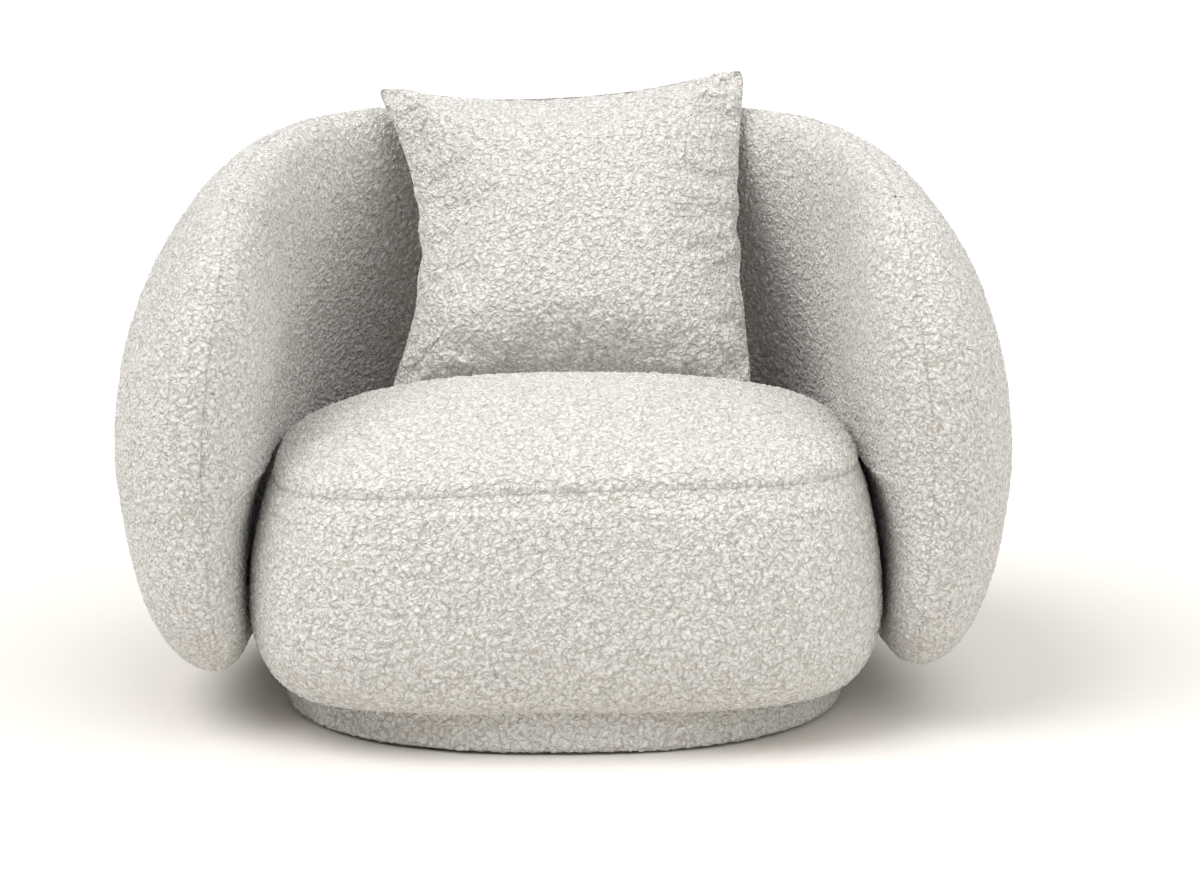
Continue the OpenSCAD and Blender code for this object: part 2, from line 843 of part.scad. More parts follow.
// Slider at the closed end of the zip: two cheeks, the plate that joins them and the pull
module zip_slider() {
    mid = zip_half_angle - 2 * slider_half_angle;
    from_angle = mid - slider_half_angle;
    to_angle = mid + slider_half_angle;
    cheek = 0.9;
    reach = coil_r + 0.4 + cheek;
    color(steel_color)
        in_zip() {
            difference() {
                zip_sector(slider_low_r - cheek, slider_top_r, 2 * reach, from_angle, to_angle);
                zip_sector(slider_low_r, slider_top_r + 5, 2 * (reach - cheek), from_angle - 1, to_angle + 1);
            }
            zip_sector(slider_low_r - cheek, slider_low_r, 9, mid - 0.15, mid + 0.15, -reach - 4);
        }
}

// ---------- output ----------

plinth_lower_board();
plinth_spacers();
plinth_upper_board();
plinth_wadding();
plinth_cover();
glides();
glide_screws();
plinth_screws();
seat_base_ring();
seat_posts();
seat_top_ring();
seat_springs();
spring_clips();
spring_ties();
seat_insulator();
seat_foam();
seat_border_foam();
seat_cover_top();
seat_cover_side();
shell_base_rail();
shell_middle_rail();
shell_top_rail();
shell_ribs();
back_webbing();
shell_outer_board();
shell_outer_foam();
shell_inner_foam();
shell_outer_cover();
shell_inner_cover();
connecting_blocks();
shell_bolts();
shell_washers();
shell_nuts();
cushion_insert();
cushion_front();
cushion_back();
zip_tape();
zip_coil();
zip_slider();
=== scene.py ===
"""Low boucle lounge chair with a loose cushion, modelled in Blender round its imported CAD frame."""
import json
import math

import bpy
import numpy as np
from mathutils import Matrix, Vector


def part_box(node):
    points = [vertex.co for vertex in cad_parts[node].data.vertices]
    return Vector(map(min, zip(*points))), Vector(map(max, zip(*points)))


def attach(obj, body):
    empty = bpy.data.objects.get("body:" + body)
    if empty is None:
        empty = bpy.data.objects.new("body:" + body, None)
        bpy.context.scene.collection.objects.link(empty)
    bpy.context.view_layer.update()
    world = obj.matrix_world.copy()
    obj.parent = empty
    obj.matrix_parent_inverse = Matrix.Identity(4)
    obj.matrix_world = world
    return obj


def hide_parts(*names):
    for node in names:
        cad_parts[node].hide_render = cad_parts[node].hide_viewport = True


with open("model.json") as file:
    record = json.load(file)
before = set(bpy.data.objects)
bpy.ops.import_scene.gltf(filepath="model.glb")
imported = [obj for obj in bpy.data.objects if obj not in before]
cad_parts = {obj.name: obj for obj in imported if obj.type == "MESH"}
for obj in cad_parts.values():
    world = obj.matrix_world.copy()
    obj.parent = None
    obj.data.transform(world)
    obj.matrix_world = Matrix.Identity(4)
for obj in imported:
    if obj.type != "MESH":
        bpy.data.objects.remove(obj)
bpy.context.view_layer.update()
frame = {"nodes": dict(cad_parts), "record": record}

NODES = frame["nodes"]

# ---------- sizes, in metres ----------

CELL = 0.0021      # spacing of the points on a cloth face
COARSE = 4                                  # a cloth's back has a quarter of its face's rows and columns
FOAM_CELL = 0.010                           # spacing of the points on foam
CLOTH = 0.0028                              # thickness of the cloth
GAP = 0.0004                                # clearance between layers
FOAM_DEPTH = CLOTH + 2 * GAP                # the foam lies this deep below the cloth's face

SHELL_LOW, SHELL_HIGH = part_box("shell_outer_cover")
SEAT_LOW, SEAT_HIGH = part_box("seat_cover_side")
CROWN_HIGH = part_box("seat_cover_top")[1]
PLINTH_LOW, PLINTH_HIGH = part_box("plinth_cover")
CUSHION_LOW, CUSHION_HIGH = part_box("cushion_front")

# Nap of the boucle
NAP_HEIGHT = 0.0036
PLINTH_NAP_HEIGHT = 0.0032
LONG_CURL, SHORT_CURL = 0.0056, 0.0038      # sizes of the two kinds of curls
LONG_SHARE = 0.62                           # share of the height that the long curls make
CURL_STRETCH = 0.70                         # 0 gives round curls and 1 endless ones
CURL_GIRTH = 0.26                           # square of a curl's half width, against its size
NAP_SWIRL, NAP_SWIRL_SIZE = 0.0016, 0.011   # how far the curls are pushed about, in swirls of this size
NAP_PATCH, NAP_PATCH_SIZE = 0.14, 0.045     # share by which the nap's height varies, in such patches
SOFT_WAVES = ((0.0011, 0.11), (0.0005, 0.035))      # height and size of the stuffing's unevenness
SEWN_NAP = 0.3                              # share of the nap's height that is left at a seam
SEAM_DEPTH = 0.0016
SEAM_REACH = 0.006                          # the cloth sinks into a seam over this distance
CUSHION_SEAM_DEPTH = 0.0008
CUSHION_SEAM_REACH = 0.003

# Shell: a middle surface on a superelliptic plan, with a thickness to each side of it
WIDE_Z = 0.265                  # height at which the shell is widest
SHELL_MID_Y = -0.100            # where the arms run straight to the front
OUTER_BULGE = 0.074
INNER_BULGE = 0.092
PLAN_N = 2.45                   # squareness of the plan
ARM_ANGLE = 116.0               # the shell runs this far round from the rear on each side, in degrees
CREST_IN = 0.082                # the crest stands in this far at the arms
CREST_IN_REAR = 0.048
FOOT_IN = 0.030
OUTLINE_N_TOP = 3.8
OUTLINE_N_FOOT = 6.2
REAR_BULGE_SHARE = 0.8
SPINE = 0.65                    # share of the arm angle with the full thickness
EDGE_N = 3.4
TUCK = 0.32                     # share of the inner bulge that gives way to the seat
TUCK_SHAPE = 0.7
OUTER_TUCK = 0.08               # and of the outer one, below the widest level
ARC_PER_DEGREE = 0.006          # length round the shell for each degree, near enough
SEAM_HIDDEN_Z = 0.42            # above this the nap covers the shell's seam
SEAM_HIDDEN_RUN = 0.05
OUTER_FOAM = 0.022              # thicknesses of the shell's foams
INNER_FOAM = 0.060
FOAM_RIM = 0.004                # the foams thin out to this at the seam
FOAM_TAPER = 0.12               # over this distance

# Seat
SEAT_HALF = (SEAT_HIGH.x, (SEAT_HIGH.y - SEAT_LOW.y) / 2)
SEAT_MID_Y = (SEAT_LOW.y + SEAT_HIGH.y) / 2
SEAT_WIDE_Z = 0.130
SEAT_N_FRONT = 4.0
SEAT_N_REAR = 2.3
SEAM_IN = 0.026                 # the seat's side leans in by this at the seam
SEAM_IN_SHAPE = 2.2
FOOT_ROUND = 0.045
CROWN_N = 2.2
CROWN_TOP_Y = -0.150
REAR_FALL = 0.32                # share of the crown's height lost towards the rear
REAR_FALL_RUN = 0.330
SEAM_TILT = 0.026               # the seam round the seat climbs a little towards +X
SEAM_RISE = 0.008               # it stands higher than in the CAD
SEAM_RISE_FRONT = 0.009         # and higher still at the front
SEAM_RISE_RUN = 0.25
LIP_RISE = 0.021                # the crown swells in front of the cushion, which presses it down
LIP_REAR_Y = -0.030
LIP_REAR_RUN = 0.040
LIP_FRONT_Y = -0.34
LIP_FRONT_RUN = 0.16
CROWN_OVERLAP = 0.0008          # the crown's edge lies this far below the side's
SEAT_FOAM_FLOOR = 0.172
BORDER_FOAM = 0.060

# Plinth
PLINTH_N = 2.45
PLINTH_EDGE = 0.006             # rounding of the plinth's lower edge
PLINTH_TURN_IN = 0.001          # the cloth's back is rounded this much less
WADDING = 0.005
WADDING_FLOOR = 0.005           # the wadding ends this far above the floor

# Cushion
CUSHION_MID_X = (CUSHION_LOW.x + CUSHION_HIGH.x) / 2
CUSHION_W = CUSHION_HIGH.x - CUSHION_LOW.x
CUSHION_H = 0.388
CUSHION_T = 0.130
CUSHION_LEAN = math.radians(33)
CUSHION_EDGE = Vector((CUSHION_MID_X, -0.012, 0.3345))      # middle of the lower seam
CUSHION_CORNER_N = 18           # squareness of its slightly rounded corners
CORNER_SPREAD = 1.045           # width of its top against the CAD's, before the corners are rounded
LOWER_NARROWING = 0.054         # share by which it is narrower at the lower seam
SIDE_PINCH = 0.14               # share by which its sides draw in halfway up
SIDE_PINCH_TILT = 0.075         # more at the left side than at the right
CUSHION_PINCH = 0.09            # share by which the upper and lower seams draw in
TOP_LEFT_SHIFT = 0.006
TOP_SAG = 0.016
TOP_TILT = 0.012                # the right upper corner stands higher
EAR_RISE = 0.012                # both upper corners stand up
CORNER_DROOP = 0.010            # the lower corners hang down to the seat
PUCKER = 0.0018                 # depth of the gathers along the sides
SLACK = 0.76                    # its thickness before it is filled, against the CAD's
FULLNESS = 0.42                 # power of its profile to the sides and top; less is fuller
FULLNESS_DOWN = 0.32            # the same towards the lower seam
BACK_FLAT = 0.92                # the back is pressed a little flat against the shell
MOVE_CAP = 0.030                # the simulation's moves are bent softly towards this limit
CUSHION_CELLS = 88    # cells along each side while it is simulated
FINER = 2  # the case has this many rows for each row of the simulation
FRAMES = 18                     # length of the simulation
INSERT_SHARE = 0.955            # the insert's width and height against the case's
INSERT_DEPTH = 0.006            # its surface lies this deep below the case's
INSERT_RIM = 0.001              # half thickness of its rim

# ---------- noise ----------

TABLE = 64
RNG = np.random.default_rng(11)
VALUES = RNG.random((TABLE, TABLE, TABLE), dtype=np.float32)
CURL_AT = RNG.random((TABLE, TABLE, TABLE, 3), dtype=np.float32)
CURL_LEANING = np.float32([0.5, 0.0, 0.55])     # the curls lie this way a little more than any other
CURL_WAY = RNG.normal(size=(TABLE, TABLE, TABLE, 3)).astype(np.float32) + CURL_LEANING
CURL_WAY /= np.linalg.norm(CURL_WAY, axis=-1, keepdims=True)
CURL_SIZE = RNG.uniform(0.35, 1.0, (TABLE, TABLE, TABLE)).astype(np.float32)
CHUNK = 60000                                   # points worked out at a time, to save memory


def noise(points, size):
    """Smooth noise from -1 to 1 with features about size across."""
    q = points / size
    cell = np.floor(q).astype(int)
    f = q - cell
    f = f * f * f * (f * (6 * f - 15) + 10)
    total = np.zeros(points.shape[:-1])
    for corner in np.ndindex(2, 2, 2):
        at = (cell + corner) % TABLE
        weight = np.prod(np.where(np.array(corner) == 1, f, 1 - f), axis=-1)
        total += weight * VALUES[at[..., 0], at[..., 1], at[..., 2]]
    return 2 * total - 1


def curls(points, size):
    """Height from 0 to 1 of a nap of short rounded curls about size across, lying in mixed directions."""
    q = points.reshape(-1, 3) / size
    height = np.zeros(len(q), np.float32)
    for start in range(0, len(q), CHUNK):
        part = q[start:start + CHUNK]
        cell = np.floor(part).astype(int)
        inside = (part - cell).astype(np.float32)
        best = np.zeros(len(part), np.float32)
        for step in np.ndindex(3, 3, 3):
            offset = np.array(step) - 1
            i, j, k = ((cell + offset) % TABLE).T
            away = inside - offset.astype(np.float32) - CURL_AT[i, j, k]
            along = (away * CURL_WAY[i, j, k]).sum(axis=1)
            reach = ((away * away).sum(axis=1) - CURL_STRETCH * along * along) / CURL_GIRTH
            best = np.maximum(best, CURL_SIZE[i, j, k] * np.sqrt(np.maximum(0, 1 - reach)))
        height[start:start + CHUNK] = best
    return height.reshape(points.shape[:-1])


# ---------- meshes ----------


def make_object(name, points, polygon_groups, nap=None):
    """A smooth-shaded mesh object from points and arrays of equal-sided polygons."""
    mesh = bpy.data.meshes.new(name)
    mesh.vertices.add(len(points))
    mesh.vertices.foreach_set("co", np.ascontiguousarray(points, dtype=np.float32).ravel())
    sizes = np.concatenate([np.full(len(group), group.shape[1]) for group in polygon_groups])
    corners = np.concatenate([group.ravel() for group in polygon_groups])
    mesh.loops.add(len(corners))
    mesh.loops.foreach_set("vertex_index", corners.astype(np.int32))
    mesh.polygons.add(len(sizes))
    starts = np.concatenate([[0], np.cumsum(sizes)[:-1]])
    mesh.polygons.foreach_set("loop_start", starts.astype(np.int32))
    mesh.update(calc_edges=True)
    mesh.validate()
    mesh.shade_smooth()
    if nap is not None:
        layer = mesh.attributes.new("nap", "FLOAT", "POINT")
        layer.data.foreach_set("value", np.ascontiguousarray(nap, dtype=np.float32))
    piece = bpy.data.objects.new(name, mesh)
    bpy.context.scene.collection.objects.link(piece)
    return piece


def grid_quads(index, flip):
    """Quads between the rows and columns of an array of point numbers."""
    a, b, c, d = index[:-1, :-1], index[:-1, 1:], index[1:, 1:], index[1:, :-1]
    order = (a, d, c, b) if flip else (a, b, c, d)
    return np.stack([corner.ravel() for corner in order], axis=1)


def closed_columns(index):
    """Repeats the first column of a looped grid after its last."""
    return np.concatenate([index, index[:, :1]], axis=1)


def border(index):
    """Point numbers round the edge of a grid, in order, without repeating the first."""
    return np.concatenate([index[0, :-1], index[:-1, -1], index[-1, :0:-1], index[:0:-1, 0]])


def edge_polygons(fine, coarse, flip):
    """Polygons that join a fine closed edge to one with a COARSE-th of its points."""
    spans = [np.roll(fine, -k)[::COARSE] for k in range(COARSE + 1)]
    loop = np.stack([coarse, np.roll(coarse, -1)] + spans[::-1], axis=1)
    return loop[:, ::-1] if flip else loop


def grid_normals(points, looped):
    """Unit normals of a grid of points, along its columns' direction crossed with its rows' direction."""
    if looped:
        wide = np.concatenate([points[:, -2:], points, points[:, :2]], axis=1)
        across = np.gradient(wide, axis=1)[:, 2:-2]
    else:
        across = np.gradient(points, axis=1)
    up = np.gradient(points, axis=0)
    normal = np.cross(across, up)
    return normal / np.maximum(np.linalg.norm(normal, axis=-1, keepdims=True), 1e-12)


def nap_of(points):
    """Height from 0 to 1 of the boucle's nap: long and short curls, pushed about and higher in patches."""
    swirl = np.stack([noise(points + shift, NAP_SWIRL_SIZE) for shift in (0.1, 0.3, 0.7)], axis=-1)
    swirled = points + NAP_SWIRL * swirl
    nap = LONG_SHARE * curls(swirled, LONG_CURL) + (1 - LONG_SHARE) * curls(swirled + 0.5, SHORT_CURL)
    return nap * (1 - NAP_PATCH + NAP_PATCH * noise(points, NAP_PATCH_SIZE))


def cloth_slab(name, points, looped, flip, edge_share,
               nap_height=NAP_HEIGHT, seam_depth=SEAM_DEPTH, back=None):
    """A closed sheet of boucle over a smooth face.

    points is the face as a grid; edge_share is 0 on a seam and 1 away from it. The nap stands out of the
    face and dies away into the seam, where the face sinks a little. The back is a smooth coarser grid.
    """
    normal = grid_normals(points, looped) * (-1 if flip else 1)
    nap = nap_of(points)
    soft = sum(height * noise(points, size) for height, size in SOFT_WAVES)
    fade = np.clip(edge_share, 0, 1)
    rise = (nap - 0.5) * nap_height * (SEWN_NAP + (1 - SEWN_NAP) * fade) + soft * fade
    sink = seam_depth * (1 - fade) ** 2
    face = points + normal * (rise - sink)[..., None]

    if back is None:
        back = points - normal * CLOTH
    coarse_back = back[::COARSE, ::COARSE]
    rows, cols = face.shape[:2]
    fine_index = np.arange(rows * cols).reshape(rows, cols)
    back_rows, back_cols = coarse_back.shape[:2]
    back_index = rows * cols + np.arange(back_rows * back_cols).reshape(back_rows, back_cols)

    if looped:
        groups = [grid_quads(closed_columns(fine_index), flip)]
        groups.append(grid_quads(closed_columns(back_index), not flip))
        groups.append(edge_polygons(fine_index[0], back_index[0], not flip))
        groups.append(edge_polygons(fine_index[-1], back_index[-1], flip))
    else:
        groups = [grid_quads(fine_index, flip), grid_quads(back_index, not flip)]
        groups.append(edge_polygons(border(fine_index), border(back_index), not flip))
    by_size = {}
    for group in groups:
        by_size.setdefault(group.shape[1], []).append(group)
    merged = [np.concatenate(by_size[size]) for size in sorted(by_size)]
    all_points = np.concatenate([face.reshape(-1, 3), coarse_back.reshape(-1, 3)])
    all_nap = np.concatenate([nap.ravel(), np.full(back_rows * back_cols, 0.5)])
    return make_object(name, all_points, merged, all_nap)


def even_steps(curve, cell, fine=4001):
    """Values from -1 to 1 that space the points of curve(values) evenly, about one cell apart."""
    values = np.linspace(-1, 1, fine)
    run = np.concatenate([[0], np.cumsum(np.linalg.norm(np.diff(curve(values), axis=0), axis=1))])
    count = COARSE * max(1, round(run[-1] / cell / COARSE))
    return np.interp(np.linspace(0, run[-1], count + 1), run, values)


def spow(base, exponent):
    """Signed power, for superelliptic outlines."""
    return np.sign(base) * np.abs(base) ** exponent


def gauge(x, y, n):
    """1 on the superellipse of power n, less inside it and more outside."""
    return (np.abs(x) ** n + np.abs(y) ** n) ** (1 / n)


def round_grid(u, v, n):
    """Maps a grid over a square onto a superellipse, rings of the square to rings of the superellipse."""
    ring = np.maximum(np.abs(u), np.abs(v))
    g = np.maximum(gauge(u, v, n), 1e-9)
    return u * ring / g, v * ring / g


def smoothstep(x):
    """Eases from 0 at 0 to 1 at 1."""
    x = np.clip(x, 0, 1)
    return x * x * (3 - 2 * x)


# ---------- shell ----------


def shell_level(z):
    """Height as a share: 0 at the widest level, 1 at the crest and -1 at the foot."""
    above = (z - WIDE_Z) / (SHELL_HIGH.z - WIDE_Z)
    below = (z - WIDE_Z) / (WIDE_Z - SHELL_LOW.z)
    return np.where(z > WIDE_Z, above, below)


def shell_point(angle, z, offset):
    """Points at an offset from the shell's middle surface. angle is in radians from the rear."""
    level = shell_level(z)
    square = level * level
    half_x = SHELL_HIGH.x - OUTER_BULGE - np.where(level > 0, CREST_IN, FOOT_IN) * square
    half_y = SHELL_HIGH.y - SHELL_MID_Y - OUTER_BULGE - np.where(level > 0, CREST_IN_REAR, FOOT_IN) * square
    x = spow(np.sin(angle), 2 / PLAN_N)
    y = spow(np.cos(angle), 2 / PLAN_N)
    out_x = spow(x, PLAN_N - 1) / half_x
    out_y = spow(y, PLAN_N - 1) / half_y
    size = np.hypot(out_x, out_y)
    return np.stack([
        half_x * x + offset * out_x / size,
        SHELL_MID_Y + half_y * y + offset * out_y / size,
        z + 0 * x,
    ], axis=-1)


def shell_ring_share(across, level):
    """How far each place of the unrolled shell is from its spine (0) to its outline (1)."""
    n = np.where(level >= 0, OUTLINE_N_TOP, OUTLINE_N_FOOT)
    low = np.full(across.shape, 1e-4)
    high = np.ones(across.shape)
    for _ in range(34):
        mid = (low + high) / 2
        p = np.minimum(np.abs(across) / ((1 - mid) * SPINE + mid), 4)
        q = np.minimum(np.abs(level) / mid, 4)
        outside = p ** n + q ** n > 1
        low = np.where(outside, mid, low)
        high = np.where(outside, high, mid)
    return (low + high) / 2


def shell_face(side, across, level, inset=0.0, shift=0.0):
    """Points of the shell's outer (side 1) or inner (side -1) face, inset below the cloth's face."""
    share = shell_ring_share(across, level)
    angle = across * math.radians(ARM_ANGLE - inset / ARC_PER_DEGREE)
    reach = np.where(level > 0, SHELL_HIGH.z - WIDE_Z, WIDE_Z - SHELL_LOW.z) - inset
    z = WIDE_Z + reach * level
    below = np.minimum(1, -np.minimum(0, shell_level(z)))
    if side > 0:
        bulge = (OUTER_BULGE - inset) * (1 - OUTER_TUCK * np.sin(np.pi * below))
    else:
        tucked = 1 - TUCK * np.abs(np.sin(np.pi * below)) ** TUCK_SHAPE
        rear = REAR_BULGE_SHARE + (1 - REAR_BULGE_SHARE) * np.sin(np.minimum(np.pi / 2, np.abs(angle))) ** 2
        bulge = (INNER_BULGE - inset) * tucked * rear
    height = bulge * np.sqrt(np.maximum(0, 1 - share ** EDGE_N))
    return shell_point(angle, z, side * (height + shift))


def shell_grid(side, cell, inset=0.0, shift=0.0):
    """Even grid over one face of the shell."""
    def along(values):
        return shell_face(side, values, np.zeros_like(values))

    def upright(values):
        return shell_face(side, np.zeros_like(values), values)

    u, v = np.meshgrid(even_steps(along, cell), even_steps(upright, cell))
    n = np.where(v >= 0, OUTLINE_N_TOP, OUTLINE_N_FOOT)
    across, level = round_grid(u, v, n)
    return shell_face(side, across, level, inset, shift)


def edge_distance(points):
    """Rough distance of each grid point from the grid's edge, along its row or column."""
    def both_ways(axis):
        step = np.linalg.norm(np.diff(points, axis=axis), axis=-1)
        zero = np.zeros_like(np.take(step, [0], axis=axis))
        run = np.concatenate([zero, np.cumsum(step, axis=axis)], axis=axis)
        return np.minimum(run, np.take(run, [-1], axis=axis) - run)
    return np.minimum(both_ways(0), both_ways(1))


def build_shell():
    for name, side in (("shell_outer_cover", 1), ("shell_inner_cover", -1)):
        points = shell_grid(side, CELL)
        sewn = smoothstep(edge_distance(points) / SEAM_REACH)
        hidden = smoothstep((points[..., 2] - SEAM_HIDDEN_Z) / SEAM_HIDDEN_RUN)
        piece = cloth_slab(name + "_cloth", points, False, side > 0, np.maximum(sewn, hidden))
        upholster(piece, name, "boucle", "chair")
    foams = (("shell_outer_foam", 1, OUTER_FOAM), ("shell_inner_foam", -1, INNER_FOAM))
    for name, side, thickness in foams:
        face = shell_grid(side, FOAM_CELL, FOAM_DEPTH, GAP)
        out = grid_normals(face, False) * -side
        share = smoothstep(edge_distance(face) / FOAM_TAPER)[..., None]
        deep = face - out * (FOAM_RIM + (thickness - FOAM_RIM) * share)
        piece = foam_block(name + "_pad", face, deep, side > 0)
        upholster(piece, name, "foam", "chair")


def foam_block(name, face, back, flip, looped=False):
    """Closed block between a face grid and a back grid of the same size."""
    rows, cols = face.shape[:2]
    top = np.arange(rows * cols).reshape(rows, cols)
    low = top + rows * cols
    if looped:
        groups = [grid_quads(closed_columns(top), flip), grid_quads(closed_columns(low), not flip)]
        edges = [(top[0], low[0], not flip), (top[-1], low[-1], flip)]
    else:
        groups = [grid_quads(top, flip), grid_quads(low, not flip)]
        edges = [(border(top), border(low), not flip)]
    for fine, deep, turned in edges:
        quads = np.stack([deep, np.roll(deep, -1), np.roll(fine, -1), fine], axis=1)
        groups.append(quads[:, ::-1] if turned else quads)
    points = np.concatenate([face.reshape(-1, 3), back.reshape(-1, 3)])
    return make_object(name, points, [np.concatenate(groups)])


def upholster(piece, node, slot, body):
    """The piece stands for a CAD node, takes a material slot, rides on a body and is padded to a fill."""
    piece.data.materials.append(MATERIALS[slot])
    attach(piece, body)
    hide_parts(node)


# ---------- seat ----------


def seat_in(z):
    """How far the seat's side stands in from its widest level at each height."""
    above = SEAM_IN * (np.maximum(0, z - SEAT_WIDE_Z) / (SEAT_HIGH.z - SEAT_WIDE_Z)) ** SEAM_IN_SHAPE
    deep = np.clip((SEAT_WIDE_Z - z) / (SEAT_WIDE_Z - SEAT_LOW.z), 0, 1)
    below = FOOT_ROUND * (1 - np.sqrt(1 - deep ** 2))
    return np.where(z > SEAT_WIDE_Z, above, below)


def oval(angle, half_x, half_y, n_front, n_rear):
    """Points round a superelliptic plan whose front and rear differ in squareness."""
    n = np.where(np.sin(angle) < 0, n_front, n_rear)
    return half_x * spow(np.cos(angle), 2 / n), half_y * spow(np.sin(angle), 2 / n)


def even_angles(half_x, half_y, n_front, n_rear, cell, fine=8001):
    """Angles round a plan that space its points evenly, without repeating the first."""
    angle = np.linspace(0, 2 * np.pi, fine)
    x, y = oval(angle, half_x, half_y, n_front, n_rear)
    run = np.concatenate([[0], np.cumsum(np.hypot(np.diff(x), np.diff(y)))])
    count = COARSE * max(1, round(run[-1] / cell / COARSE))
    return np.interp(np.linspace(0, run[-1], count + 1)[:-1], run, angle)


def seam_lift(x, y):
    """How much the seat's seam stands above its CAD level: more at the front and to the right."""
    front = smoothstep((SEAT_MID_Y - y) / SEAM_RISE_RUN) * np.maximum(0, 1 - (x / SEAT_HALF[0]) ** 2)
    return SEAM_TILT * x + SEAM_RISE + SEAM_RISE_FRONT * front


def seat_side_grid(cell, inset, low_z, high_z):
    """Even grid round the seat's side, an inset within the cloth's face."""
    def profile(values):
        z = low_z + (high_z - low_z) * (values + 1) / 2
        return np.stack([seat_in(z), z], axis=-1)

    steps = even_steps(profile, cell)
    z = (low_z + (high_z - low_z) * (steps + 1) / 2)[:, None]
    angle = even_angles(*SEAT_HALF, SEAT_N_FRONT, SEAT_N_REAR, cell)[None, :]
    inward = seat_in(z) + inset
    x, y = oval(angle, SEAT_HALF[0] - inward, SEAT_HALF[1] - inward, SEAT_N_FRONT, SEAT_N_REAR)
    lift = seam_lift(x, SEAT_MID_Y + y) * smoothstep((z - SEAT_WIDE_Z) / (SEAT_HIGH.z - SEAT_WIDE_Z))
    return np.stack([x, SEAT_MID_Y + y, z + lift], axis=-1)


def crown_grid(cell, depth):
    """Even grid over the seat's crown, a depth below the cloth's face."""
    half_x = SEAT_HALF[0] - SEAM_IN - depth
    half_y = SEAT_HALF[1] - SEAM_IN - depth
    top = CROWN_HIGH.z - SEAT_HIGH.z - depth

    def surface(u, v):
        n = np.where(v < 0, SEAT_N_FRONT, SEAT_N_REAR)
        x, y = round_grid(u, v, n)
        share = np.maximum(np.abs(u), np.abs(v))
        plan_y = SEAT_MID_Y + half_y * y
        fall = 1 - REAR_FALL * smoothstep((plan_y - CROWN_TOP_Y) / REAR_FALL_RUN)
        dome = np.sqrt(np.maximum(0, 1 - share ** CROWN_N))
        lip = LIP_RISE * smoothstep((LIP_REAR_Y - plan_y) / LIP_REAR_RUN)
        lip = lip * smoothstep((plan_y - LIP_FRONT_Y) / LIP_FRONT_RUN)
        rise = (top * fall + lip) * dome - CROWN_OVERLAP
        lift = seam_lift(half_x * x, plan_y) * share ** 2
        return np.stack([half_x * x, plan_y, SEAT_HIGH.z + rise + lift], axis=-1)

    def middle_row(values):
        return surface(values, np.zeros_like(values))

    def middle_column(values):
        return surface(np.zeros_like(values), values)

    across = even_steps(middle_row, cell)
    along = even_steps(middle_column, cell)
    return surface(*np.meshgrid(across, along))


def build_seat():
    side = seat_side_grid(CELL, 0, SEAT_LOW.z, SEAT_HIGH.z)
    from_seam = (SEAT_HIGH.z - side[..., 2]) / SEAM_REACH
    piece = cloth_slab("seat_cover_side_cloth", side, True, False, smoothstep(from_seam))
    upholster(piece, "seat_cover_side", "boucle", "chair")

    top = crown_grid(CELL, 0)
    sewn = smoothstep(edge_distance(top) / SEAM_REACH)
    piece = cloth_slab("seat_cover_top_cloth", top, False, False, sewn)
    upholster(piece, "seat_cover_top", "boucle", "chair")

    crown = crown_grid(FOAM_CELL, FOAM_DEPTH)
    under = crown.copy()
    under[..., 2] = SEAT_FOAM_FLOOR
    piece = foam_block("seat_foam_pad", crown, under, False)
    upholster(piece, "seat_foam", "foam", "chair")

    ring = seat_side_grid(FOAM_CELL, FOAM_DEPTH, SEAT_LOW.z, SEAT_FOAM_FLOOR - GAP)
    inner = seat_side_grid(FOAM_CELL, BORDER_FOAM, SEAT_LOW.z, SEAT_FOAM_FLOOR - GAP)
    piece = foam_block("seat_border_foam_pad", ring, inner, False, looped=True)
    upholster(piece, "seat_border_foam", "foam", "chair")


# ---------- plinth ----------


def plinth_grid(cell, inset, low_z, edge):
    """Band round the plinth with a rounded lower edge."""
    half = (PLINTH_HIGH.x, (PLINTH_HIGH.y - PLINTH_LOW.y) / 2)
    mid_y = (PLINTH_HIGH.y + PLINTH_LOW.y) / 2

    def inward(z):
        low = np.clip((low_z + edge - z) / max(edge, 1e-6), 0, 1)
        return edge * (1 - np.sqrt(1 - low ** 2)) + inset

    def height(values):
        return low_z + (PLINTH_HIGH.z - low_z) * (values + 1) / 2

    def profile(values):
        return np.stack([inward(height(values)), height(values)], axis=-1)

    z = height(even_steps(profile, cell))[:, None]
    angle = even_angles(*half, PLINTH_N, PLINTH_N, cell)[None, :]
    x, y = oval(angle, half[0] - inward(z), half[1] - inward(z), PLINTH_N, PLINTH_N)
    return np.stack([x, mid_y + y, z + 0 * x], axis=-1)


def build_plinth():
    band = plinth_grid(CELL, 0, PLINTH_LOW.z, PLINTH_EDGE)
    back = plinth_grid(CELL, CLOTH, PLINTH_LOW.z, PLINTH_EDGE - PLINTH_TURN_IN)
    share = np.ones(band.shape[:2])
    piece = cloth_slab("plinth_cover_cloth", band, True, False, share, PLINTH_NAP_HEIGHT, back=back)
    upholster(piece, "plinth_cover", "boucle", "chair")

    outer = plinth_grid(FOAM_CELL, CLOTH + GAP, WADDING_FLOOR, 0)
    inner = plinth_grid(FOAM_CELL, CLOTH + GAP + WADDING, WADDING_FLOOR, 0)
    piece = foam_block("plinth_wadding_pad", outer, inner, False, looped=True)
    upholster(piece, "plinth_wadding", "wadding", "chair")


# ---------- cushion ----------


